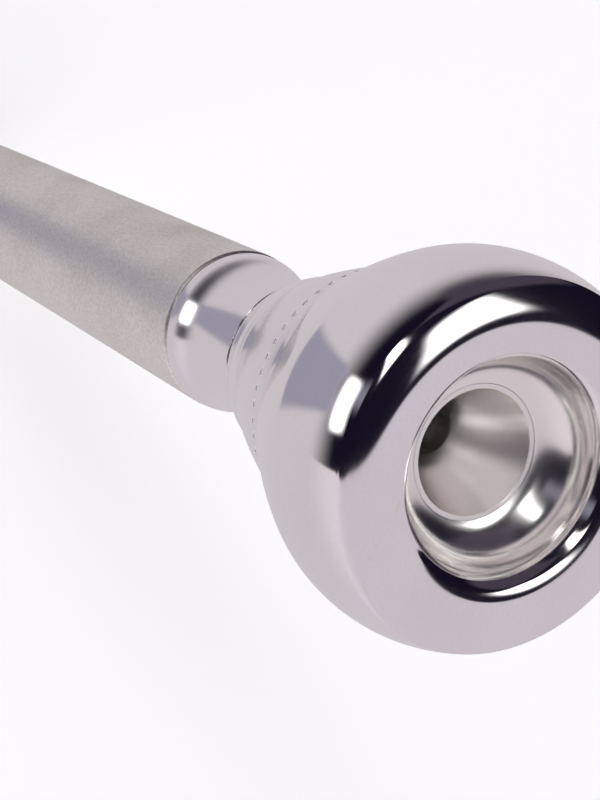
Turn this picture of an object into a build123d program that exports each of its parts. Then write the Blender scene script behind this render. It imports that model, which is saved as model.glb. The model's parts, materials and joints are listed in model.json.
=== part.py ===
from build123d import *
from math import radians, sin
import os

# Modular trumpet mouthpiece, silver plated brass. Millimetres.
# The axis is Z, the rim is up, and the origin is the centre of the shank's small end.
# Places along the axis are given as a depth below the crest of the rim.

OVERALL_LENGTH = 87.0
SEAM = 0.05  # hairline left where two parts meet

# Rim: crest with an arc on each side, bite, bowl, barrel-shaped outside and threaded socket
CREST_R = 9.5
OUTER_FACE_ARC_R = 8.9
OUTER_FACE_TILT = 17.0  # degrees, where the arc ends
INNER_FACE_ARC_R = 5.75
INNER_FACE_TILT = 12.0
BITE_R = 7.35
BOWL_DEPTH = 1.4  # where the wall below the bite turns into the bowl
BOWL_ARC_R = 2.95
EDGE_DEPTH = 0.85  # where the rounded top edge runs into the barrel
EDGE_R = 12.78
RIM_MAX_DEPTH = 5.2
RIM_MAX_R = 13.5
BARREL_END_DEPTH = 10.2
BARREL_END_R = 12.58
SHOULDER_DEPTH = 14.6
SHOULDER_R = 10.65
SHOULDER_ROUND = 0.35
SOCKET_DEPTH = 5.4  # the flat that the cup's nose face comes up to

# Cup: nose lip, inner cone, throat, flared back with its ring of dots, foot
NOSE_R = 4.7
NOSE_FIT = 0.025
CREASE_R = 4.35
CREASE_DEPTH = 4.35
THROAT_R = 1.83
THROAT_DEPTH = 10.2
FLARE_START_R = 10.15
FLARE_MID_DEPTH = 19.3
FLARE_MID_R = 8.93
FLARE_END_DEPTH = 24.0
FLARE_END_R = 7.15
FOOT_MID_DEPTH = 26.3
FOOT_MID_R = 6.45
FOOT_DEPTH = 28.0
FOOT_R = 5.5
DOT_COUNT = 54
DOT_BALL_R = 0.36
DOT_DEPTH = 16.9
DOT_RING_R = 9.78  # the balls' centres, just outside the flare

# Backbore: screwed spigot, cove neck, bead and plain tail
SPIGOT_TOP_DEPTH = 19.5
NECK_TOP_R = 5.6
NECK_DEPTH = 31.4
NECK_R = 5.32
BEAD_FLANK_DEPTH = 34.3
BEAD_FLANK_R = 5.6
BEAD_CREST_DEPTH = 36.0
BEAD_R = 5.97
BEAD_END_DEPTH = 36.6
BEAD_END_R = 5.9
TAIL_R = 4.2
TAIL_END_DEPTH = 62.0
TAIL_END_BORE_R = 3.3
TAIL_FIT = 0.03

# Shank sleeve: the taper of about 1 in 20 that goes into the instrument
SLEEVE_BIG_R = 6.02
TIP_R = 4.8
TIP_BORE_R = 4.2
SLEEVE_CHAMFER = 0.12

# Screw threads: a 60 degree form with a flat crest and a flat root
THREAD_HEIGHT = 0.55  # of the pitch
ROOT_SHARE = 0.8
CREST_SHARE = 0.2
THREAD_CLEARANCE = 0.07
ROOT_SINK = 0.05  # how far a ridge is sunk into its core
RIM_THREAD_R = 9.0
RIM_PITCH = 1.0
RIM_THREAD_TOP = 6.6
RIM_THREAD_TURNS = 5.5
RIM_THREAD_LEAD = 1  # whole turns that the groove runs on into the counterbore
STEM_THREAD_R = 4.0
STEM_PITCH = 0.75
STEM_THREAD_TOP = 20.3
STEM_THREAD_TURNS = 6.0
STEM_THREAD_LEAD = 2

# O-rings: each lies in a groove of the inner part, inside a counterbore of the outer one
RING_SECTION_R = 0.5
RING_GAP = 0.04
GROOVE_HALF = 0.55
COLLAR = 0.5  # width of the lip on the thread side of a groove
COLLAR_GAP = 0.18
RIM_RING_DEPTH = 13.6
RIM_GROOVE_R = 8.0
STEM_RING_DEPTH = 26.9
STEM_GROOVE_R = 3.4

# Values that follow from those above
RIM_ROOT_R = RIM_THREAD_R - THREAD_HEIGHT * RIM_PITCH
STEM_ROOT_R = STEM_THREAD_R - THREAD_HEIGHT * STEM_PITCH
RIM_COUNTERBORE_R = RIM_GROOVE_R + 2 * (RING_SECTION_R + RING_GAP)
STEM_COUNTERBORE_R = STEM_GROOVE_R + 2 * (RING_SECTION_R + RING_GAP)
RIM_COUNTERBORE_TOP = RIM_RING_DEPTH - GROOVE_HALF - COLLAR - SEAM
STEM_COUNTERBORE_TOP = STEM_RING_DEPTH - GROOVE_HALF - COLLAR - SEAM
MINOR_GAP = THREAD_CLEARANCE + 0.03


def at(depth, radius):
    """A point of a half section: its radius, and its height from its depth."""
    return (radius, OVERALL_LENGTH - depth)


def thread_start(top_depth, turns, pitch):
    """Height of a helix's lower end, from the depth of its upper end."""
    return OVERALL_LENGTH - top_depth - turns * pitch


def across(path):
    """The plane across the start of a helix, X pointing away from the axis."""
    return Plane(origin=path.line @ 0, x_dir=(1, 0, 0), z_dir=path.line % 0)


def ridge_points(height, pitch, sink, grow):
    """Section of a thread's ridge, sunk into its core and grown by a clearance."""
    root = ROOT_SHARE * pitch / 2 + grow
    crest = CREST_SHARE * pitch / 2 + grow
    return [(-sink, -root), (height, -crest), (height, crest), (-sink, root)]


def male_ridge(root_r, pitch, top_depth, turns):
    """A right-hand ridge wound on a core, inside the current part."""
    with BuildLine() as path:
        Helix(pitch, turns * pitch, root_r, center=(0, 0, thread_start(top_depth, turns, pitch)))
    with BuildSketch(across(path)) as ridge:
        Polygon(*ridge_points(THREAD_HEIGHT * pitch, pitch, ROOT_SINK, 0), align=None)
    sweep(sections=ridge.sketch, path=path.line, is_frenet=True)


def female_groove(root_r, pitch, top_depth, turns, lead):
    """The groove that the ridge runs in. Its lead is in whole turns, in step with the ridge."""
    start = thread_start(top_depth, turns, pitch) - lead * pitch
    length = (lead + turns + 0.25) * pitch
    bore_r = root_r + MINOR_GAP
    height = THREAD_HEIGHT * pitch - MINOR_GAP + THREAD_CLEARANCE
    with BuildLine() as path:
        Helix(pitch, length, bore_r, center=(0, 0, start))
    with BuildSketch(across(path)) as groove:
        Polygon(*ridge_points(height, pitch, 3 * ROOT_SINK, THREAD_CLEARANCE), align=None)
    sweep(sections=groove.sketch, path=path.line, is_frenet=True, mode=Mode.SUBTRACT)


# ---------------------------------------------------------------- rim
with BuildPart() as rim:
    with BuildSketch(Plane.XZ) as rim_section:
        with BuildLine():
            barrel = ThreePointArc(
                at(EDGE_DEPTH, EDGE_R), at(RIM_MAX_DEPTH, RIM_MAX_R), at(BARREL_END_DEPTH, BARREL_END_R)
            )
            outer_face = JernArc(at(0, CREST_R), (1, 0), OUTER_FACE_ARC_R, -OUTER_FACE_TILT)
            Spline(outer_face @ 1, barrel @ 0, tangents=[outer_face % 1, barrel % 0])
            TangentArc(barrel @ 1, at(SHOULDER_DEPTH, SHOULDER_R), tangent=barrel % 1)
            inner_face = JernArc(at(0, CREST_R), (-1, 0), INNER_FACE_ARC_R, INNER_FACE_TILT)
            bite_arc_r = ((inner_face @ 1).X - BITE_R) / (1 - sin(radians(INNER_FACE_TILT)))
            bite = JernArc(inner_face @ 1, inner_face % 1, bite_arc_r, 90 - INNER_FACE_TILT)
            Line(bite @ 1, at(BOWL_DEPTH, BITE_R))
            nose_bore_r = NOSE_R + NOSE_FIT
            bowl_centre_r = BITE_R - BOWL_ARC_R
            bowl_drop = (BOWL_ARC_R**2 - (nose_bore_r - bowl_centre_r) ** 2) ** 0.5
            bowl_mid = BOWL_ARC_R * 0.5**0.5
            bowl = ThreePointArc(
                at(BOWL_DEPTH, BITE_R),
                at(BOWL_DEPTH + bowl_mid, bowl_centre_r + bowl_mid),
                at(BOWL_DEPTH + bowl_drop, nose_bore_r),
            )
            Polyline(
                bowl @ 1,
                at(SOCKET_DEPTH, nose_bore_r),
                at(SOCKET_DEPTH, RIM_ROOT_R + MINOR_GAP),
                at(RIM_COUNTERBORE_TOP, RIM_ROOT_R + MINOR_GAP),
                at(RIM_COUNTERBORE_TOP, RIM_COUNTERBORE_R),
                at(SHOULDER_DEPTH, RIM_COUNTERBORE_R),
                at(SHOULDER_DEPTH, SHOULDER_R),
            )
        make_face()
        shoulder_corner = rim_section.vertices().sort_by_distance(at(SHOULDER_DEPTH, SHOULDER_R))[0]
        fillet(shoulder_corner, SHOULDER_ROUND)
    revolve(axis=Axis.Z)
    female_groove(RIM_ROOT_R, RIM_PITCH, RIM_THREAD_TOP, RIM_THREAD_TURNS, RIM_THREAD_LEAD)

# ---------------------------------------------------------------- cup
with BuildPart() as cup:
    with BuildSketch(Plane.XZ):
        with BuildLine():
            flange_depth = SHOULDER_DEPTH + SEAM
            collar_r = RIM_COUNTERBORE_R - COLLAR_GAP
            nose_face = SOCKET_DEPTH + SEAM
            lead_in = 0.3
            Polyline(
                at(CREASE_DEPTH, CREASE_R),
                at(CREASE_DEPTH, NOSE_R),
                at(nose_face, NOSE_R),
                at(nose_face, RIM_ROOT_R - lead_in),
                at(nose_face + lead_in, RIM_ROOT_R),
                at(RIM_RING_DEPTH - GROOVE_HALF - COLLAR, RIM_ROOT_R),
                at(RIM_RING_DEPTH - GROOVE_HALF - COLLAR, collar_r),
                at(RIM_RING_DEPTH - GROOVE_HALF, collar_r),
                at(RIM_RING_DEPTH - GROOVE_HALF, RIM_GROOVE_R),
                at(RIM_RING_DEPTH + GROOVE_HALF, RIM_GROOVE_R),
                at(RIM_RING_DEPTH + GROOVE_HALF, collar_r),
                at(flange_depth, collar_r),
                at(flange_depth, FLARE_START_R),
            )
            ThreePointArc(
                at(flange_depth, FLARE_START_R),
                at(FLARE_MID_DEPTH, FLARE_MID_R),
                at(FLARE_END_DEPTH, FLARE_END_R),
            )
            ThreePointArc(
                at(FLARE_END_DEPTH, FLARE_END_R), at(FOOT_MID_DEPTH, FOOT_MID_R), at(FOOT_DEPTH, FOOT_R)
            )
            Polyline(
                at(FOOT_DEPTH, FOOT_R),
                at(FOOT_DEPTH, STEM_COUNTERBORE_R),
                at(STEM_COUNTERBORE_TOP, STEM_COUNTERBORE_R),
                at(STEM_COUNTERBORE_TOP, STEM_ROOT_R + MINOR_GAP),
                at(SPIGOT_TOP_DEPTH - SEAM, STEM_ROOT_R + MINOR_GAP),
                at(SPIGOT_TOP_DEPTH - SEAM, THROAT_R),
                at(THROAT_DEPTH, THROAT_R),
                at(CREASE_DEPTH, CREASE_R),
            )
        make_face()
    revolve(axis=Axis.Z)
    male_ridge(RIM_ROOT_R, RIM_PITCH, RIM_THREAD_TOP, RIM_THREAD_TURNS)
    female_groove(STEM_ROOT_R, STEM_PITCH, STEM_THREAD_TOP, STEM_THREAD_TURNS, STEM_THREAD_LEAD)
    with Locations((0, 0, OVERALL_LENGTH - DOT_DEPTH)):
        with PolarLocations(DOT_RING_R, DOT_COUNT):
            Sphere(DOT_BALL_R, mode=Mode.SUBTRACT)

# ---------------------------------------------------------------- backbore
with BuildPart() as backbore:
    with BuildSketch(Plane.XZ):
        with BuildLine():
            neck_top = FOOT_DEPTH + SEAM
            collar_r = STEM_COUNTERBORE_R - COLLAR_GAP
            lead_in = 0.25
            Polyline(
                at(SPIGOT_TOP_DEPTH, THROAT_R),
                at(SPIGOT_TOP_DEPTH, STEM_ROOT_R - lead_in),
                at(SPIGOT_TOP_DEPTH + lead_in, STEM_ROOT_R),
                at(STEM_RING_DEPTH - GROOVE_HALF - COLLAR, STEM_ROOT_R),
                at(STEM_RING_DEPTH - GROOVE_HALF - COLLAR, collar_r),
                at(STEM_RING_DEPTH - GROOVE_HALF, collar_r),
                at(STEM_RING_DEPTH - GROOVE_HALF, STEM_GROOVE_R),
                at(STEM_RING_DEPTH + GROOVE_HALF, STEM_GROOVE_R),
                at(STEM_RING_DEPTH + GROOVE_HALF, collar_r),
                at(neck_top, collar_r),
                at(neck_top, NECK_TOP_R),
            )
            Spline(
                at(neck_top, NECK_TOP_R),
                at(NECK_DEPTH, NECK_R),
                at(BEAD_FLANK_DEPTH, BEAD_FLANK_R),
                at(BEAD_CREST_DEPTH, BEAD_R),
                at(BEAD_END_DEPTH, BEAD_END_R),
            )
            Polyline(
                at(BEAD_END_DEPTH, BEAD_END_R),
                at(BEAD_END_DEPTH, TAIL_R),
                at(TAIL_END_DEPTH, TAIL_R),
                at(TAIL_END_DEPTH, TAIL_END_BORE_R),
                at(SPIGOT_TOP_DEPTH, THROAT_R),
            )
        make_face()
    revolve(axis=Axis.Z)
    male_ridge(STEM_ROOT_R, STEM_PITCH, STEM_THREAD_TOP, STEM_THREAD_TURNS)

# ---------------------------------------------------------------- shank sleeve
with BuildPart() as shank_sleeve:
    with BuildSketch(Plane.XZ) as sleeve_section:
        with BuildLine():
            sleeve_top = BEAD_END_DEPTH + SEAM
            tail_bore_r = TAIL_R + TAIL_FIT
            Polyline(
                at(sleeve_top, tail_bore_r),
                at(sleeve_top, SLEEVE_BIG_R),
                at(OVERALL_LENGTH, TIP_R),
                at(OVERALL_LENGTH, TIP_BORE_R),
                at(TAIL_END_DEPTH + SEAM, TAIL_END_BORE_R),
                at(TAIL_END_DEPTH + SEAM, tail_bore_r),
                at(sleeve_top, tail_bore_r),
            )
        make_face()
        outer_corners = sleeve_section.vertices().group_by(Axis.X)[-1]
        outer_corners += sleeve_section.vertices().sort_by_distance(at(OVERALL_LENGTH, TIP_R))[:1]
        chamfer(outer_corners, SLEEVE_CHAMFER)
    revolve(axis=Axis.Z)

# ---------------------------------------------------------------- O-rings
with BuildPart() as rim_seal:
    with BuildSketch(Plane.XZ):
        with Locations(at(RIM_RING_DEPTH, RIM_GROOVE_R + RING_GAP + RING_SECTION_R)):
            Circle(RING_SECTION_R)
    revolve(axis=Axis.Z)

with BuildPart() as stem_seal:
    with BuildSketch(Plane.XZ):
        with Locations(at(STEM_RING_DEPTH, STEM_GROOVE_R + RING_GAP + RING_SECTION_R)):
            Circle(RING_SECTION_R)
    revolve(axis=Axis.Z)

# ---------------------------------------------------------------- files
os.makedirs("parts", exist_ok=True)
PIECES = {
    "rim": rim,
    "rim_seal": rim_seal,
    "cup": cup,
    "stem_seal": stem_seal,
    "backbore": backbore,
    "shank_sleeve": shank_sleeve,
}
for name, piece in PIECES.items():
    piece.part.label = name
    export_step(piece.part, f"parts/{name}.step")
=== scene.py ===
"""Looks for a brass-instrument mouthpiece: silver-plated metal in a dark studio over a pale floor."""

import json
import math

import bmesh
import bpy
import numpy as np
from mathutils import Matrix, Vector

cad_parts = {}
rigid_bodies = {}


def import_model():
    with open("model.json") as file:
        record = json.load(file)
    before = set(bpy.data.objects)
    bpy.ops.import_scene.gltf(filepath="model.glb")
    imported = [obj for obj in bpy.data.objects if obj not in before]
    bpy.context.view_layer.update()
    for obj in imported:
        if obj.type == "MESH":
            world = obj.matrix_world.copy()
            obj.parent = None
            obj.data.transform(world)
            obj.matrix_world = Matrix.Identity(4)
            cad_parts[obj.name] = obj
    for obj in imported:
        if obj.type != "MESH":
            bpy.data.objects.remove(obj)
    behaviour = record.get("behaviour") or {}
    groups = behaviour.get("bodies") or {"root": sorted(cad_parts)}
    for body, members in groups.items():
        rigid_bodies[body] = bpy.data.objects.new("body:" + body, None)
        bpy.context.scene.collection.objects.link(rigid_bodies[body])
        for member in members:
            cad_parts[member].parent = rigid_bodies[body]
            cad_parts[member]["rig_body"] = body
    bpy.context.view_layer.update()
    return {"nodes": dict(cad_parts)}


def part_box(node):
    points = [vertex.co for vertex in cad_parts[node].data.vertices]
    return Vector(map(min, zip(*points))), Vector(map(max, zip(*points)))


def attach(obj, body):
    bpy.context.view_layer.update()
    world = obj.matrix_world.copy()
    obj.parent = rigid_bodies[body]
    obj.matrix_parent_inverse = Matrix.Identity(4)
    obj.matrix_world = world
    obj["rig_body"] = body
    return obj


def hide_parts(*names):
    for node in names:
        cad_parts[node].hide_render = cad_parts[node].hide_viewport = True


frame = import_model()
nodes = frame["nodes"]


# ---------------------------------------------------------------- node helpers
class Graph:
    """A node tree with short calls for the sums that a procedural pattern needs."""

    def __init__(self, tree):
        self.tree = tree
        tree.nodes.clear()

    def node(self, kind, **settings):
        made = self.tree.nodes.new(kind)
        for name, value in settings.items():
            setattr(made, name, value)
        return made

    def feed(self, socket, value):
        if isinstance(value, bpy.types.NodeSocket):
            self.tree.links.new(value, socket)
        else:
            socket.default_value = value

    def maths(self, operation, a, b=0.0):
        made = self.node("ShaderNodeMath", operation=operation)
        self.feed(made.inputs[0], a)
        self.feed(made.inputs[1], b)
        return made.outputs[0]

    def dot(self, vector, direction):
        made = self.node("ShaderNodeVectorMath", operation="DOT_PRODUCT")
        self.feed(made.inputs[0], vector)
        self.feed(made.inputs[1], tuple(direction))
        return made.outputs["Value"]

    def step(self, value, low, high):
        """0 below low, 1 above high, smooth between; low may be above high."""
        made = self.node("ShaderNodeMapRange", interpolation_type="SMOOTHSTEP")
        turned = low > high
        self.feed(made.inputs["Value"], value)
        self.feed(made.inputs["From Min"], min(low, high))
        self.feed(made.inputs["From Max"], max(low, high))
        self.feed(made.inputs["To Min"], 1.0 if turned else 0.0)
        self.feed(made.inputs["To Max"], 0.0 if turned else 1.0)
        return made.outputs["Result"]

    def mix(self, share, a, b):
        made = self.node("ShaderNodeMix", data_type="RGBA")
        self.feed(made.inputs[0], share)
        self.feed(made.inputs[6], a if isinstance(a, bpy.types.NodeSocket) else (*a, 1.0))
        self.feed(made.inputs[7], b if isinstance(b, bpy.types.NodeSocket) else (*b, 1.0))
        return made.outputs[2]

    def blend(self, share, a, b):
        """A plain number between a and b."""
        made = self.node("ShaderNodeMix", data_type="FLOAT")
        self.feed(made.inputs[0], share)
        self.feed(made.inputs[2], a)
        self.feed(made.inputs[3], b)
        return made.outputs[0]

    def noise(self, where, scale, detail):
        made = self.node("ShaderNodeTexNoise")
        self.feed(made.inputs["Vector"], where)
        self.feed(made.inputs["Scale"], scale)
        self.feed(made.inputs["Detail"], detail)
        return made.outputs["Fac"]

    def bump(self, height):
        """A normal from a height in millimetres."""
        made = self.node("ShaderNodeBump")
        self.feed(made.inputs["Strength"], 1.0)
        self.feed(made.inputs["Distance"], MM)
        self.feed(made.inputs["Height"], height)
        return made.outputs[0]

    def background(self, colour):
        made = self.node("ShaderNodeBackground")
        self.feed(made.inputs["Color"], colour)
        return made.outputs[0]


def new_material(name):
    """An empty material, its graph and its shader, which already feeds the output."""
    material = bpy.data.materials.new(name)
    material.use_nodes = True
    g = Graph(material.node_tree)
    out = g.node("ShaderNodeOutputMaterial")
    shader = g.node("ShaderNodeBsdfPrincipled")
    g.feed(out.inputs["Surface"], shader.outputs[0])
    return material, g, shader


# ---------------------------------------------------------------- outlines
# A point of an outline is (depth below the rim's crest, radius from the axis), in millimetres.
MM = 0.001
CREST_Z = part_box("rim")[1].z / MM
SEAM = 0.05  # gap between two pieces where their faces meet
SOFT_EDGE = 0.05  # setback of a machined edge's rounding
NOSE_EDGE = 0.012  # the same where the cup's nose meets the bowl
ARC_STEP = math.radians(2)
ARC_RUN = 0.4  # the longest run along an arc
HOLD = 0.06  # a row this far beyond the rounding keeps the face beside it flat
CORNER = math.radians(20)  # a bend smaller than this isn't rounded
SIDE_SHARE = 0.4  # the most of a side that the rounding at one end of it takes
ROUND_STEPS = (0, 0.25, 0.5, 0.75, 1)


def circle_through(start, middle, end):
    """Centre and radius of the circle through three points."""
    (x1, y1), (x2, y2), (x3, y3) = start, middle, end
    doubled = 2 * (x1 * (y2 - y3) + x2 * (y3 - y1) + x3 * (y1 - y2))
    s1, s2, s3 = (x * x + y * y for x, y in (start, middle, end))
    cx = (s1 * (y2 - y3) + s2 * (y3 - y1) + s3 * (y1 - y2)) / doubled
    cy = (s1 * (x3 - x2) + s2 * (x1 - x3) + s3 * (x2 - x1)) / doubled
    return cx, cy, math.hypot(x1 - cx, y1 - cy)


def arc(start, middle, end):
    """Points of the arc through three points, less than half a circle."""
    cx, cy, radius = circle_through(start, middle, end)
    first = math.atan2(start[1] - cy, start[0] - cx)
    sweep = math.remainder(math.atan2(end[1] - cy, end[0] - cx) - first, 2 * math.pi)
    count = max(math.ceil(abs(sweep) / ARC_STEP), math.ceil(abs(sweep) * radius / ARC_RUN))
    angles = [first + sweep * i / count for i in range(count + 1)]
    return [(cx + radius * math.cos(a), cy + radius * math.sin(a)) for a in angles]


def tangent_arc(start, way, end):
    """Points of the arc that leaves start along way and ends at end."""
    chord = np.subtract(end, start)
    side = np.array((-way[1], way[0]))
    centre = np.array(start) + side * (chord @ chord) / (2 * (chord @ side))
    bulge = np.add(start, end) / 2 - centre
    middle = centre + bulge / np.linalg.norm(bulge) * math.dist(centre, start)
    return arc(start, tuple(middle), end)


def hermite(start, start_way, end, end_way, count=40):
    """Points of a smooth curve between two ends with given directions."""
    reach = math.dist(start, end)
    ends = np.array((start, np.multiply(start_way, reach), end, np.multiply(end_way, reach)))
    made = []
    for i in range(count + 1):
        t = i / count
        share = (2 * t**3 - 3 * t**2 + 1, t**3 - 2 * t**2 + t, 3 * t**2 - 2 * t**3, t**3 - t**2)
        made.append(tuple(share @ ends))
    return made


def through(*points, steps=14):
    """Points of a natural cubic curve through the given ones."""
    p = np.array(points)
    h = np.linalg.norm(np.diff(p, axis=0), axis=1)
    system, known = np.eye(len(p)), np.zeros((len(p), 2))
    for i in range(1, len(p) - 1):
        system[i, i - 1 : i + 2] = h[i - 1], 2 * (h[i - 1] + h[i]), h[i]
        known[i] = 6 * ((p[i + 1] - p[i]) / h[i] - (p[i] - p[i - 1]) / h[i - 1])
    bend = np.linalg.solve(system, known)
    made = [points[0]]
    for i in range(len(h)):
        for k in range(1, steps + 1):
            b = k / steps
            a = 1 - b
            smooth = ((a**3 - a) * bend[i] + (b**3 - b) * bend[i + 1]) * h[i] ** 2 / 6
            made.append(tuple(a * p[i] + b * p[i + 1] + smooth))
    return made


def way_between(a, b):
    """The direction from a to b, one long."""
    return np.subtract(b, a) / math.dist(a, b)


def rounded(points, setback=SOFT_EDGE):
    """The same line with each corner inside it rounded."""
    made = [points[0]]
    for a, corner, b in zip(points, points[1:], points[2:]):
        back, on = way_between(corner, a), way_between(corner, b)
        if back @ on < -math.cos(CORNER):
            made.append(corner)
            continue
        cut = min(setback, SIDE_SHARE * math.dist(a, corner), SIDE_SHARE * math.dist(corner, b))
        start, end = corner + back * cut, corner + on * cut
        if math.dist(a, corner) > cut + 2 * HOLD:
            made.append(tuple(start + back * HOLD))
        for t in ROUND_STEPS:
            made.append(tuple((1 - t) ** 2 * start + 2 * t * (1 - t) * np.array(corner) + t**2 * end))
        if math.dist(corner, b) > cut + 2 * HOLD:
            made.append(tuple(end + on * HOLD))
    return [*made, points[-1]]


def shortened(points, distance):
    """The line without the last stretch of that length."""
    points = list(points)
    while math.dist(points[-1], points[-2]) < distance:
        distance -= math.dist(points[-1], points[-2])
        points.pop()
    points[-1] = tuple(points[-1] + way_between(points[-1], points[-2]) * distance)
    return points


# ---------------------------------------------------------------- turned meshes
COLUMNS = 216  # round the axis, four to each dimple
ANGLES = np.linspace(0, 2 * math.pi, COLUMNS + 1)
THREAD_FADE = 0.05  # turns over which the end of a thread sinks away
WELD = 0.0005  # points nearer than this are one
SHARP = math.radians(38)


def ring(depth, radius):
    """A row of points round the axis. Either value may differ from column to column."""
    radius = radius + 0 * ANGLES
    height = CREST_Z - depth + 0 * ANGLES
    return np.stack((radius * np.cos(ANGLES), radius * np.sin(ANGLES), height), axis=1) * MM


def plain(points, setback=SOFT_EDGE):
    """Rows along an outline, with its corners rounded."""
    return [ring(*point) for point in rounded(points, setback)]


def thread(top, bottom, core, height, root_half, crest_half, pitch, start, first_turn, last_turn):
    """Rows of a screw thread from top to bottom, which follow its helix.

    A groove has the same form as a ridge. The half widths, the pitch and the start of the helix are lengths
    along the axis, and first_turn and last_turn are counted from that start.
    """
    turns = ANGLES / (2 * math.pi)
    rows = []
    lowest = math.floor((start - bottom) / pitch) - 1
    highest = math.ceil((start - top) / pitch) + 1
    for turn in range(lowest, highest + 1):
        for offset in (-pitch / 2, -root_half, -crest_half, crest_half, root_half):
            climb = np.clip(pitch * (turn + turns) + offset, start - bottom, start - top)
            whole = np.floor(climb / pitch - turns + 0.5)
            beside = np.abs(climb - pitch * (whole + turns))
            along = whole + turns
            share = np.clip((root_half - beside) / (root_half - crest_half), 0, 1)
            share *= np.clip((along - first_turn) / THREAD_FADE, 0, 1)
            share *= np.clip((last_turn - along) / THREAD_FADE, 0, 1)
            rows.append(ring(start - climb, core + height * share))
    return rows[::-1]


def turned_mesh(node, rows, holes=()):
    """A mesh of those rows, for that CAD node. The rows in holes aren't joined to the next ones."""
    rows = np.array(rows)
    count, columns = rows.shape[:2]
    mesh = bpy.data.meshes.new(f"{node}_turned")
    faces = []
    for i in range(count):
        if i in holes:
            continue
        a, b = i * columns, (i + 1) % count * columns
        faces += [(a + j, a + j + 1, b + j + 1, b + j) for j in range(columns - 1)]
    mesh.from_pydata(rows.reshape(-1, 3).tolist(), [], faces)
    return mesh


def finish_piece(mesh, node):
    """Welds the rows into one closed surface, and puts the piece in the place of its CAD node."""
    work = bmesh.new()
    work.from_mesh(mesh)
    bmesh.ops.remove_doubles(work, verts=work.verts, dist=WELD * MM)
    loose = [v for v in work.verts if not v.link_faces]
    bmesh.ops.delete(work, geom=loose, context="VERTS")
    bmesh.ops.recalc_face_normals(work, faces=work.faces)
    work.to_mesh(mesh)
    work.free()
    mesh.shade_smooth()
    mesh.set_sharp_from_angle(angle=SHARP)
    piece = bpy.data.objects.new(mesh.name, mesh)
    bpy.context.scene.collection.objects.link(piece)
    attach(piece, nodes[node]["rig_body"])
    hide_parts(node)
    return piece


# ---------------------------------------------------------------- the four metal pieces
# Rim
CREST_R = 9.5
OUTER_FACE = (8.9, math.radians(17))  # radius of the arc beside the crest, and its tilt where it ends
INNER_FACE = (5.75, math.radians(12))
FACE_POINTS = 12
BITE_R = 7.35
BITE_POINTS = 40
BOWL_DEPTH = 1.4  # where the wall below the bite turns into the bowl
BOWL_ARC_R = 2.95
BOWL_POINTS = 46
EDGE = (0.85, 12.78)  # where the rounded top edge runs into the barrel
BARREL_WIDEST = (5.2, 13.5)
BARREL_END = (10.2, 12.58)
SHOULDER = (14.6, 10.65)
SHOULDER_ROUND = 0.35
SHOULDER_POINTS = 10
SOCKET_DEPTH = 5.4  # the flat that the cup's nose comes up to
NOSE_BORE_R = 4.725

# Cup
NOSE_R = 4.7
NOSE_CHAMFER = 0.3
NOSE_PLAIN = 0.45  # from the nose's face to the thread
NOSE_LIP_POINTS = 6
CREASE = (4.35, 4.35)  # where the bowl meets the inner cone
CONE_START = 2  # the rows begin this far above the throat, in the cone
THROAT_R = 1.83
THROAT_DEPTH = 10.2
FLARE = ((14.65, 10.15), (19.3, 8.93), (24.0, 7.15))
FOOT = ((24.0, 7.15), (26.3, 6.45), (28.0, 5.5))

# Backbore
SPIGOT_TOP = 19.5
SPIGOT_CHAMFER = 0.25
SPIGOT_PLAIN = 0.4
BORE_START = 5  # the rows begin this far below the spigot's face, in the airway
NECK_TOP_R = 5.6
# The neck's waist, and the bead's flank, crest and end
NECK = ((31.4, 5.32), (34.3, 5.6), (36.0, 5.97), (36.6, 5.9))
TAIL_R = 4.2
TAIL_END = 62.0
TAIL_BORE_R = 3.3

# Shank sleeve
SLEEVE_TOP = 36.65
SLEEVE_FACE_R = 5.0  # the rows begin here, on the top face
SLEEVE_BIG_R = 6.02
SLEEVE_CHAMFER = 0.12
TAIL_FIT = 0.03
TIP_R = 4.8
TIP_BORE_R = 4.2

# The two joints: an O-ring groove and its collars, a counterbore round them, and a thread above
COLLAR_GAP = 0.18
GROOVE_HALF = 0.55
COLLAR = 0.5
RUN_OUT = 0.1  # plain stretch between a collar and the thread
SOCKET_PLAIN = 0.2  # the same between a socket's floor and its thread
RIM_JOINT = {
    "ring_depth": 13.6,
    "groove": 8.0,
    "counterbore": 9.08,
    "core": 8.45,
    "bore": 8.55,
    "mouth": 0.4,  # width of the ledge round the thread's mouth that the rows begin from
}
STEM_JOINT = {
    "ring_depth": 26.9,
    "groove": 3.4,
    "counterbore": 4.48,
    "core": 3.5875,
    "bore": 3.6875,
    "mouth": 0.3,
}
RIM_SCREW = {"pitch": 1.0, "start": 12.1, "turns": 5.5}
STEM_SCREW = {"pitch": 0.75, "start": 24.8, "turns": 6.0}

# A thread's form, in shares of its pitch, and how much wider and shallower its groove is
THREAD_HEIGHT = 0.55
RIDGE_ROOT_HALF = 0.37
GROOVE_ROOT_HALF = 0.31
CREST_HALF = 0.1
GROOVE_CLEARANCE = 0.07
GROOVE_SHALLOWER = 0.03
GROOVE_LEAD = -3  # turns; the groove begins below the ridge's lower end
GROOVE_EXTRA = 0.25


def ridge(screw, joint, top, bottom):
    """The outside thread of a joint's inner part."""
    pitch = screw["pitch"]
    height = THREAD_HEIGHT * pitch
    root_half = RIDGE_ROOT_HALF * pitch
    crest_half = CREST_HALF * pitch
    turns = (0, screw["turns"])
    return thread(top, bottom, joint["core"], height, root_half, crest_half, pitch, screw["start"], *turns)


def groove(screw, joint, top, bottom):
    """The inside thread of its outer part."""
    pitch = screw["pitch"]
    height = THREAD_HEIGHT * pitch - GROOVE_SHALLOWER
    root_half = GROOVE_ROOT_HALF * pitch + GROOVE_CLEARANCE
    crest_half = CREST_HALF * pitch + GROOVE_CLEARANCE
    turns = (GROOVE_LEAD, screw["turns"] + GROOVE_EXTRA)
    return thread(top, bottom, joint["bore"], height, root_half, crest_half, pitch, screw["start"], *turns)


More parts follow.
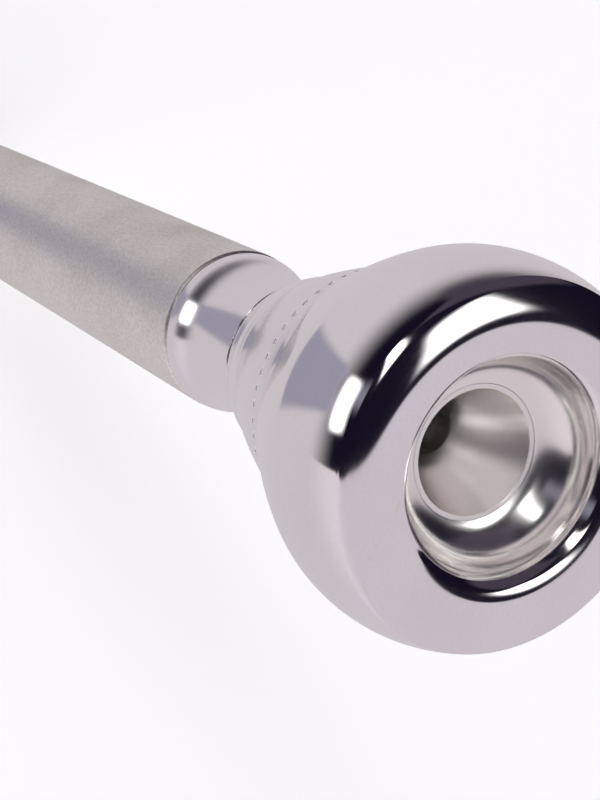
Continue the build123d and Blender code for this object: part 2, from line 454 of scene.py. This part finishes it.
def sealed_end(joint, last_depth):
    """The grooved end of an inner part, from its collar to the face that meets the outer part."""
    middle, collar = joint["ring_depth"], joint["counterbore"] - COLLAR_GAP
    return [
        (middle - GROOVE_HALF - COLLAR, joint["core"]),
        (middle - GROOVE_HALF - COLLAR, collar),
        (middle - GROOVE_HALF, collar),
        (middle - GROOVE_HALF, joint["groove"]),
        (middle + GROOVE_HALF, joint["groove"]),
        (middle + GROOVE_HALF, collar),
        (last_depth, collar),
    ]


def face_arc(radius, tilt, side):
    """Points of the rim's face, from the crest outwards (side 1) or inwards (side -1)."""
    angles = np.linspace(0, tilt, FACE_POINTS)
    return [(radius * (1 - math.cos(a)), CREST_R + side * radius * math.sin(a)) for a in angles]


def make_rim():
    barrel = arc(EDGE, BARREL_WIDEST, BARREL_END)
    outer_face = face_arc(*OUTER_FACE, 1)
    outer_way = (math.sin(OUTER_FACE[1]), math.cos(OUTER_FACE[1]))
    edge = hermite(outer_face[-1], outer_way, EDGE, way_between(barrel[0], barrel[1]))
    shoulder = tangent_arc(BARREL_END, way_between(barrel[-2], barrel[-1]), SHOULDER)
    inner_face = face_arc(*INNER_FACE, -1)
    tilt = INNER_FACE[1]
    bite_arc_r = (inner_face[-1][1] - BITE_R) / (1 - math.sin(tilt))
    bite_centre = (inner_face[-1][0] + bite_arc_r * math.cos(tilt), BITE_R + bite_arc_r)
    bite = [
        (bite_centre[0] - bite_arc_r * math.cos(a), bite_centre[1] - bite_arc_r * math.sin(a))
        for a in np.linspace(math.pi / 2, tilt, BITE_POINTS)
    ]
    bowl_centre = (BOWL_DEPTH, BITE_R - BOWL_ARC_R)
    last = math.asin((NOSE_BORE_R - bowl_centre[1]) / BOWL_ARC_R)
    bowl = [
        (bowl_centre[0] + BOWL_ARC_R * math.cos(a), bowl_centre[1] + BOWL_ARC_R * math.sin(a))
        for a in np.linspace(last, math.pi / 2, BOWL_POINTS)
    ]
    counterbore_top = RIM_JOINT["ring_depth"] - GROOVE_HALF - COLLAR - SEAM
    bore = RIM_JOINT["bore"]
    outside = [*outer_face, *edge[1:], *barrel[1:], *shortened(shoulder, SHOULDER_ROUND)[1:]]
    foot = [
        (SHOULDER[0], SHOULDER[1] - SHOULDER_ROUND),
        (SHOULDER[0], RIM_JOINT["counterbore"]),
        (counterbore_top, RIM_JOINT["counterbore"]),
        (counterbore_top, bore + RIM_JOINT["mouth"]),
    ]
    inside = [
        (SOCKET_DEPTH + SOCKET_PLAIN, bore),
        (SOCKET_DEPTH, bore),
        (SOCKET_DEPTH, NOSE_BORE_R),
        *bowl,
        *bite,
        *inner_face[-2::-1],
    ]
    start, corner, end = np.array(outside[-1]), np.array(SHOULDER), np.array(foot[0])
    turn = [
        tuple((1 - t) ** 2 * start + 2 * t * (1 - t) * corner + t**2 * end)
        for t in np.linspace(0, 1, SHOULDER_POINTS)[1:-1]
    ]
    rows = [
        *plain(inside, NOSE_EDGE)[:-1],
        *plain([*outside, *turn, *foot]),
        *groove(RIM_SCREW, RIM_JOINT, SOCKET_DEPTH + SOCKET_PLAIN, counterbore_top)[::-1],
    ]
    return finish_piece(turned_mesh("rim", rows), "rim")


def flare_radius(depth):
    """Radius of the cup's flared back at that depth. It bulges, so its arc's centre is nearer the axis."""
    cx, cy, radius = circle_through(*FLARE)
    return cy + math.sqrt(radius**2 - (depth - cx) ** 2)


# The ring of dimples. Each is a ball's print in a square of the band, four columns wide and four rows high.
DOT_DEPTH = 16.9
DOT_COUNT = 54
DOT_BALL_R = 0.36
DOT_RING_R = 9.78  # the balls' centres, just outside the flare
DOT_SIDES = 16
DOT_MARGIN = 1.2  # a ring this much wider than the lip keeps it crisp
DOT_RINGS = (0.3, 0.6, 0.85)  # shares of the way from the lip to the deepest point
HALVINGS = 30
BAND_HALF = 0.56
BAND_ROWS = 4
ROWS_ABOVE = 6
ROWS_BELOW = 20
NUDGE = 0.01
DOT_SLOPE = (flare_radius(DOT_DEPTH + NUDGE) - flare_radius(DOT_DEPTH - NUDGE)) / (2 * NUDGE)


def bowl_depth(radius):
    """How deep the bowl's arc is at that radius. The lip of the cup's nose carries it on."""
    return BOWL_DEPTH + math.sqrt(BOWL_ARC_R**2 - (radius - BITE_R + BOWL_ARC_R) ** 2)


def make_cup():
    band = [DOT_DEPTH + BAND_HALF * i / 2 for i in (-2, -1, 0, 1, 2)]
    above = np.linspace(FLARE[0][0], band[0], ROWS_ABOVE)[:-1]
    below = np.linspace(band[-1], FLARE[2][0], ROWS_BELOW)[1:]
    flare = [(float(d), flare_radius(d)) for d in (*above, *band, *below)]
    flange = SHOULDER[0] + SEAM
    core, stem_bore = RIM_JOINT["core"], STEM_JOINT["bore"]
    counterbore_top = STEM_JOINT["ring_depth"] - GROOVE_HALF - COLLAR - SEAM
    nose_face = SOCKET_DEPTH + SEAM
    spigot_floor = SPIGOT_TOP - SEAM
    cone_height = THROAT_DEPTH - CREASE[0]
    nose = [
        (THROAT_DEPTH - CONE_START, THROAT_R + (CREASE[1] - THROAT_R) * CONE_START / cone_height),
        CREASE,
        *[(bowl_depth(r), r) for r in np.linspace(CREASE[1], NOSE_R, NOSE_LIP_POINTS)[1:]],
        (nose_face, NOSE_R),
        (nose_face, core - NOSE_CHAMFER),
        (nose_face + NOSE_CHAMFER, core),
        (nose_face + NOSE_PLAIN, core),
    ]
    end = sealed_end(RIM_JOINT, flange)
    body = [
        (end[0][0] - RUN_OUT, core),
        *end,
        *flare,
        *arc(*FOOT)[1:],
        (FOOT[2][0], STEM_JOINT["counterbore"]),
        (counterbore_top, STEM_JOINT["counterbore"]),
        (counterbore_top, stem_bore + STEM_JOINT["mouth"]),
    ]
    inside = [
        (spigot_floor + SOCKET_PLAIN, stem_bore),
        (spigot_floor, stem_bore),
        (spigot_floor, THROAT_R),
        (THROAT_DEPTH, THROAT_R),
        nose[0],
    ]
    body_rows = rounded(body)
    rows = [
        *plain(nose, NOSE_EDGE),
        *ridge(RIM_SCREW, RIM_JOINT, nose_face + NOSE_PLAIN, end[0][0] - RUN_OUT),
    ]
    first = len(rows) + body_rows.index((band[0], flare_radius(band[0])))
    rows += [ring(*point) for point in body_rows]
    rows += groove(STEM_SCREW, STEM_JOINT, spigot_floor + SOCKET_PLAIN, counterbore_top)[::-1]
    rows += plain(inside)[:-1]
    mesh = turned_mesh("cup", rows, holes=range(first, first + BAND_ROWS))
    add_dimples(mesh, first)
    return finish_piece(mesh, "cup")


def on_flare(angle, reach):
    """A point of the flare that far from the middle of a dimple, in the direction of angle round it."""
    depth = DOT_DEPTH - reach * math.sin(angle) / math.hypot(1, DOT_SLOPE)
    radius = flare_radius(depth)
    turn = reach * math.cos(angle) / radius
    return np.array((radius * math.cos(turn), radius * math.sin(turn), -depth))


def lip_reach(angle, centre):
    """How far from the middle the ball round that centre leaves the flare, found by halving."""
    low, high = 0.0, DOT_BALL_R
    for _ in range(HALVINGS):
        reach = (low + high) / 2
        if math.dist(on_flare(angle, reach), centre) < DOT_BALL_R:
            low = reach
        else:
            high = reach
    return low


def add_dimples(mesh, first_row):
    """Fills the band of rows from first_row with squares, each with a round dimple in it."""
    work = bmesh.new()
    work.from_mesh(mesh)
    work.verts.ensure_lookup_table()
    columns = COLUMNS + 1
    width = COLUMNS // DOT_COUNT
    steps = [(0, 2), (1, 2), (2, 2), (2, 1), (2, 0), (2, -1), (2, -2), (1, -2)]
    steps += [(-a, -b) for a, b in steps]
    along = np.array((1, DOT_SLOPE)) / math.hypot(1, DOT_SLOPE)
    centre = np.array((DOT_RING_R, 0, -DOT_DEPTH))
    bottom = centre - DOT_BALL_R * np.array((along[0], 0, along[1]))

    angles = [2 * math.pi / DOT_SIDES * (DOT_SIDES // 4 - i) for i in range(DOT_SIDES)]
    lips = [lip_reach(angle, centre) for angle in angles]
    rings = [[on_flare(a, lip * DOT_MARGIN) for a, lip in zip(angles, lips)]]
    rings.append([on_flare(a, lip) for a, lip in zip(angles, lips)])
    for share in DOT_RINGS:
        row = []
        for point in rings[1]:
            inner = point * (1 - share) + bottom * share - centre
            row.append(centre + inner / np.linalg.norm(inner) * DOT_BALL_R)
        rings.append(row)

    def place(point, middle):
        c, s = math.cos(middle), math.sin(middle)
        turn = np.array(((c, -s, 0), (s, c, 0), (0, 0, 1)))
        return work.verts.new(((turn @ point) + (0, 0, CREST_Z)) * MM)

    for dot in range(DOT_COUNT):
        middle = dot * 2 * math.pi / DOT_COUNT
        frame_loop = [
            work.verts[(first_row + 2 - up) * columns + (dot * width + side) % COLUMNS] for side, up in steps
        ]
        loops = [frame_loop] + [[place(point, middle) for point in row] for row in rings]
        deepest = place(bottom, middle)
        for i in range(DOT_SIDES):
            k = (i + 1) % DOT_SIDES
            for outer, inner in zip(loops, loops[1:]):
                work.faces.new((outer[i], outer[k], inner[k], inner[i]))
            work.faces.new((loops[-1][i], loops[-1][k], deepest))
        work.verts.ensure_lookup_table()
    work.to_mesh(mesh)
    work.free()


def make_backbore():
    neck_top = FOOT[2][0] + SEAM
    core = STEM_JOINT["core"]
    end = sealed_end(STEM_JOINT, neck_top)
    neck = through((neck_top, NECK_TOP_R), *NECK)
    airway_length = TAIL_END - SPIGOT_TOP
    top = [
        (SPIGOT_TOP + BORE_START, THROAT_R + (TAIL_BORE_R - THROAT_R) * BORE_START / airway_length),
        (SPIGOT_TOP, THROAT_R),
        (SPIGOT_TOP, core - SPIGOT_CHAMFER),
        (SPIGOT_TOP + SPIGOT_CHAMFER, core),
        (SPIGOT_TOP + SPIGOT_PLAIN, core),
    ]
    body = [
        (end[0][0] - RUN_OUT, core),
        *end,
        *neck,
        (neck[-1][0], TAIL_R),
        (TAIL_END, TAIL_R),
        (TAIL_END, TAIL_BORE_R),
        top[0],
    ]
    rows = [
        *plain(top),
        *ridge(STEM_SCREW, STEM_JOINT, SPIGOT_TOP + SPIGOT_PLAIN, end[0][0] - RUN_OUT),
        *plain(body)[:-1],
    ]
    return finish_piece(turned_mesh("backbore", rows), "backbore")


def make_sleeve():
    top, tip = SLEEVE_TOP, CREST_Z
    bore = TAIL_R + TAIL_FIT
    cut = SLEEVE_CHAMFER
    points = [
        (top, SLEEVE_FACE_R),
        (top, SLEEVE_BIG_R - cut),
        (top + cut, SLEEVE_BIG_R),
        (tip - cut, TIP_R),
        (tip, TIP_R - cut),
        (tip, TIP_BORE_R),
        (TAIL_END + SEAM, TAIL_BORE_R),
        (TAIL_END + SEAM, bore),
        (top, bore),
        (top, SLEEVE_FACE_R),
    ]
    rows = plain(points)[:-1]
    return finish_piece(turned_mesh("shank_sleeve", rows), "shank_sleeve")


# ---------------------------------------------------------------- camera
def direction(azimuth, elevation):
    a, e = math.radians(azimuth), math.radians(elevation)
    return Vector((math.cos(e) * math.cos(a), math.cos(e) * math.sin(a), math.sin(e)))


CAMERA_PLACE = (0, -0.12996, 0.25155)
CAMERA_WAY = (88.97, -55.58)  # azimuth and elevation that it looks along
CAMERA_ROLL = 118.0  # the mouthpiece, which stands in this frame, lies over in the picture
LENS = 146
SENSOR = 36
NEAREST, FURTHEST = 0.01, 50


def make_camera():
    azimuth, elevation = CAMERA_WAY
    forward = direction(azimuth, elevation)
    level = direction(azimuth - 90, 0)
    roll = math.radians(CAMERA_ROLL)
    right = level * math.cos(roll) + level.cross(forward) * math.sin(roll)
    up = right.cross(forward)
    data = bpy.data.cameras.new("camera")
    data.lens = LENS
    data.sensor_width = SENSOR
    data.clip_start = NEAREST
    data.clip_end = FURTHEST
    camera = bpy.data.objects.new("camera", data)
    turn = Matrix((right, up, -forward)).transposed().to_4x4()
    camera.matrix_world = Matrix.Translation(CAMERA_PLACE) @ turn
    bpy.context.scene.collection.objects.link(camera)
    bpy.context.scene.camera = camera


# ---------------------------------------------------------------- studio
# What the metal reflects: a dark room, a pale table top and floor, two dim panels, one broad and one long
# and narrow, a grey one and three smaller bright ones, all with soft edges. The camera itself sees plain
# white behind the floor.
DARK = (0.007, 0.005, 0.014)
TABLE_NEAR = (0.72, 0.665, 0.70)
TABLE_FAR = (0.60, 0.55, 0.59)
LOW = (0.60, 0.56, 0.585)
FILL = (0.06, 0.048, 0.07)
GREY = (0.32, 0.31, 0.38)
DIM = (0.22, 0.215, 0.27)
WHITE = (4.0, 4.0, 4.0)
TABLE_EDGE = 39  # azimuth of the normal of the table's upright edge
TABLE_EDGE_SOFT = (-0.008, 0.008)
TABLE_TOP = (32, 75.5)  # azimuth and elevation of its highest point
TABLE_TOP_SOFT = (-0.01, 0.01)
TABLE_NEAR_AZIMUTH = -40
TABLE_NEAR_FADE = (0.1, 1.0)
LOW_FADE = (-22, -42)  # elevations between which the room fades into the floor
FACING = 0.01  # least depth that a panel is divided by, which shrinks its image behind to a speck
PANELS = (
    # azimuth, elevation, turn, half width, half height, soft edge (degrees), colour
    (-178, 14, 0, 29, 44, 5, FILL),
    (-89, 12, 0, 6, 45, 5, DIM),
    (-87, -58, 0, 11, 24, 2, GREY),
    (-123, 55, 12, 4, 28, 3, WHITE),
    (127, 65, 20, 8, 6, 3, WHITE),
    (-82, -25, 0, 11, 4, 3, WHITE),
)


def panel_share(g, way, azimuth, elevation, turn, half_width, half_height, edge):
    """1 on a flat panel seen in that direction, 0 off it."""
    side = direction(azimuth + 90, 0)
    middle = direction(azimuth, elevation)
    above = middle.cross(side)
    c, s = math.cos(math.radians(turn)), math.sin(math.radians(turn))
    depth = g.maths("MAXIMUM", g.dot(way, middle), FACING)
    share = 1.0
    for axis, half in ((side * c + above * s, half_width), (above * c - side * s, half_height)):
        off = g.maths("ABSOLUTE", g.maths("DIVIDE", g.dot(way, axis), depth))
        outer = math.tan(math.radians(half + edge))
        inner = math.tan(math.radians(max(half - edge, 0)))
        share = g.maths("MULTIPLY", g.step(off, outer, inner), share)
    return share


def make_world():
    world = bpy.data.worlds.new("studio")
    bpy.context.scene.world = world
    world.use_nodes = True
    g = Graph(world.node_tree)
    out = g.node("ShaderNodeOutputWorld")
    way = g.node("ShaderNodeTexCoord").outputs["Generated"]
    top = direction(TABLE_TOP[0], TABLE_TOP[1] - 90)
    on_table = g.maths(
        "MULTIPLY",
        g.step(g.dot(way, top), *TABLE_TOP_SOFT),
        g.step(g.dot(way, direction(TABLE_EDGE, 0)), *TABLE_EDGE_SOFT),
    )
    near = g.step(g.dot(way, direction(TABLE_NEAR_AZIMUTH, 0)), *TABLE_NEAR_FADE)
    colour = g.mix(on_table, DARK, g.mix(near, TABLE_FAR, TABLE_NEAR))
    heights = [math.sin(math.radians(elevation)) for elevation in LOW_FADE]
    colour = g.mix(g.step(g.dot(way, (0, 0, 1)), *heights), colour, LOW)
    for *place, tone in PANELS:
        colour = g.mix(panel_share(g, way, *place), colour, tone)
    choose = g.node("ShaderNodeMixShader")
    g.feed(choose.inputs[0], g.node("ShaderNodeLightPath").outputs["Is Camera Ray"])
    g.feed(choose.inputs[1], g.background(colour))
    g.feed(choose.inputs[2], g.background((1, 1, 1, 1)))
    g.feed(out.inputs["Surface"], choose.outputs[0])


FLOOR_REACH = 3.0
FLOOR_WHITE = 0.9
FLOOR_ROUGHNESS = 0.9
FLOOR_GLOW = 0.57  # keeps the floor near white, and still takes a soft shadow


def make_floor():
    """A pale floor. Reflections leave it out: they see the studio's own low surround."""
    mesh = bpy.data.meshes.new("floor")
    reach = FLOOR_REACH
    corners = [(-reach, -reach, 0), (reach, -reach, 0), (reach, reach, 0), (-reach, reach, 0)]
    mesh.from_pydata(corners, [], [(0, 1, 2, 3)])
    floor = bpy.data.objects.new("floor", mesh)
    bpy.context.scene.collection.objects.link(floor)
    material = bpy.data.materials.new("floor_white")
    material.use_nodes = True
    shader = material.node_tree.nodes["Principled BSDF"]
    shader.inputs["Base Color"].default_value = (FLOOR_WHITE, FLOOR_WHITE, FLOOR_WHITE, 1)
    shader.inputs["Roughness"].default_value = FLOOR_ROUGHNESS
    shader.inputs["Emission Color"].default_value = (1, 1, 1, 1)
    shader.inputs["Emission Strength"].default_value = FLOOR_GLOW
    mesh.materials.append(material)
    floor.visible_glossy = False


# ---------------------------------------------------------------- materials
# A noise is its scale, per metre, and its detail. Bump heights are in millimetres. Another pair of values
# is where something starts and where it is full.
SMUDGE_NOISE = (140, 3)
SMUDGE_TINT = (0.3, 0.75)
SMUDGE_DULL = (0.35, 0.8)
LATHE_NOISE = (5200, 2)
GRAIN_NOISE = (4200, 4)
SPECKLE = (0.35, 0.65)
WEAR = (0.60, 0.75)  # pointiness at which plating starts to thin, and is fully worn
WEAR_ROUGHNESS = 0.08
WORN = (0.90, 0.86, 0.80)
SPECK = (0.84, 0.83, 0.81)
INNER_FADE = 0.3
INNER_TINT = (0.99, 0.965, 0.945)
CUT_ROUGHNESS = 0.42
CUT_TINT = (1.0, 0.99, 0.99)
CUT_SCATTER = 0.9  # share of the frosted cut's light that is scattered, not mirrored
CUT_SUNK = (0.01, 0.04)  # depths below the flare
CUT_BAND = (0.45, 0.4)  # heights above and below the middle of the dimples
RUBBER = (0.018, 0.018, 0.02)
RUBBER_ROUGHNESS = 0.5
RUBBER_GRAIN = 0.02
DUST = (0.045, 0.043, 0.042)
DUST_ROUGHNESS = 0.25
DUST_FADE = (0.4, 0.7)


def metal(name, colour, warm, finish, inner=None, grain=0.0, marks=0.0, speck=0.1, cut=None):
    """Plated brass: turning marks, grain, smudges, worn edges, and a finish that may change inside a radius.

    finish and inner hold a roughness and its spread; inner also holds the radius that it reaches to.
    cut holds the height, radius and slope of a band of the surface whose dimples are frosted.
    """
    material, g, shader = new_material(name)
    shader.inputs["Metallic"].default_value = 1
    place = g.node("ShaderNodeTexCoord").outputs["Object"]
    flat = g.node("ShaderNodeVectorMath", operation="MULTIPLY")
    g.feed(flat.inputs[0], place)
    g.feed(flat.inputs[1], (1, 1, 0))
    reach = g.node("ShaderNodeVectorMath", operation="LENGTH")
    g.feed(reach.inputs[0], flat.outputs[0])
    radius = reach.outputs["Value"]
    height = g.dot(place, (0, 0, 1))
    turned = g.node("ShaderNodeCombineXYZ")
    g.feed(turned.inputs[0], radius)
    g.feed(turned.inputs[2], height)
    smudge = g.noise(place, *SMUDGE_NOISE)
    lathe = g.noise(turned.outputs[0], *LATHE_NOISE)
    fine = g.noise(place, *GRAIN_NOISE)
    wear = g.step(g.node("ShaderNodeNewGeometry").outputs["Pointiness"], *WEAR)
    tint = g.mix(g.step(smudge, *SMUDGE_TINT), colour, warm)
    speckle = g.node("ShaderNodeMix", data_type="RGBA", blend_type="MULTIPLY")
    g.feed(speckle.inputs[0], g.maths("MULTIPLY", g.step(fine, *SPECKLE), speck))
    g.feed(speckle.inputs[6], tint)
    g.feed(speckle.inputs[7], (*SPECK, 1))
    tint = g.mix(wear, speckle.outputs[2], WORN)
    roughness, spread = finish
    rough = g.maths("MULTIPLY", g.step(smudge, *SMUDGE_DULL), spread)
    rough = g.maths("ADD", rough, g.maths("MULTIPLY", lathe, spread))
    rough = g.maths("ADD", rough, g.maths("MULTIPLY", wear, WEAR_ROUGHNESS))
    rough = g.maths("ADD", rough, roughness)
    if inner:
        inner_roughness, inner_spread, inner_radius = inner
        share = g.step(radius, (inner_radius + INNER_FADE) * MM, (inner_radius - INNER_FADE) * MM)
        inside = g.maths("ADD", inner_roughness, g.maths("MULTIPLY", smudge, inner_spread))
        rough = g.blend(share, rough, inside)
        tint = g.mix(share, tint, INNER_TINT)
    if cut:
        cut_z, cut_r, slope = cut
        below = g.maths("SUBTRACT", cut_z * MM, height)
        surface = g.maths("ADD", cut_r * MM, g.maths("MULTIPLY", below, slope))
        sunk = g.step(g.maths("SUBTRACT", surface, radius), *[depth * MM for depth in CUT_SUNK])
        inside_band = g.step(g.maths("ABSOLUTE", below), *[reach * MM for reach in CUT_BAND])
        dimple = g.maths("MULTIPLY", sunk, inside_band)
        rough = g.blend(dimple, rough, CUT_ROUGHNESS)
        tint = g.mix(dimple, tint, CUT_TINT)
        g.feed(shader.inputs["Metallic"], g.maths("SUBTRACT", 1.0, g.maths("MULTIPLY", dimple, CUT_SCATTER)))
    relief = g.maths("ADD", g.maths("MULTIPLY", fine, grain), g.maths("MULTIPLY", lathe, marks))
    g.feed(shader.inputs["Base Color"], tint)
    g.feed(shader.inputs["Roughness"], rough)
    g.feed(shader.inputs["Normal"], g.bump(relief))
    return material


def rubber_material():
    """Matt black seal rubber with a fine grain and a bloom of dust."""
    material, g, shader = new_material("rubber")
    grain = g.noise(g.node("ShaderNodeTexCoord").outputs["Object"], *GRAIN_NOISE)
    dust = g.step(grain, *DUST_FADE)
    rough = g.maths("ADD", RUBBER_ROUGHNESS, g.maths("MULTIPLY", dust, DUST_ROUGHNESS))
    g.feed(shader.inputs["Base Color"], g.mix(dust, RUBBER, DUST))
    g.feed(shader.inputs["Roughness"], rough)
    g.feed(shader.inputs["Normal"], g.bump(g.maths("MULTIPLY", grain, RUBBER_GRAIN)))
    return material


def assign(node, material):
    for slot in nodes[node].material_slots:
        slot.material = material


make_camera()
make_world()
make_floor()

# Colour and warmer tint, then roughness and spread, and the same inside a radius.
silver = (0.95, 0.93, 0.95)
dots = (CREST_Z - DOT_DEPTH, flare_radius(DOT_DEPTH), DOT_SLOPE)
rim_silver = metal(
    "silver_rim", silver, (0.93, 0.90, 0.91), (0.045, 0.03), inner=(0.17, 0.04, 7.6), marks=0.00015
)
cup_silver = metal(
    "silver_cup", silver, (0.93, 0.90, 0.90), (0.09, 0.05), inner=(0.24, 0.04, 4.85), marks=0.0002, cut=dots
)
neck_silver = metal(
    "silver_neck", silver, (0.93, 0.90, 0.90), (0.13, 0.05), inner=(0.38, 0.06, 3.3), marks=0.0003
)
satin = metal(
    "silver_satin", (1.0, 0.985, 0.96), (0.97, 0.945, 0.89), (0.30, 0.12), grain=0.03, marks=0.004, speck=0.8
)
rubber = rubber_material()
make_rim().data.materials.append(rim_silver)
make_cup().data.materials.append(cup_silver)
make_backbore().data.materials.append(neck_silver)
make_sleeve().data.materials.append(satin)
for name in ("rim_seal", "stem_seal"):
    assign(name, rubber)

bpy.context.scene.view_settings.view_transform = "Standard"
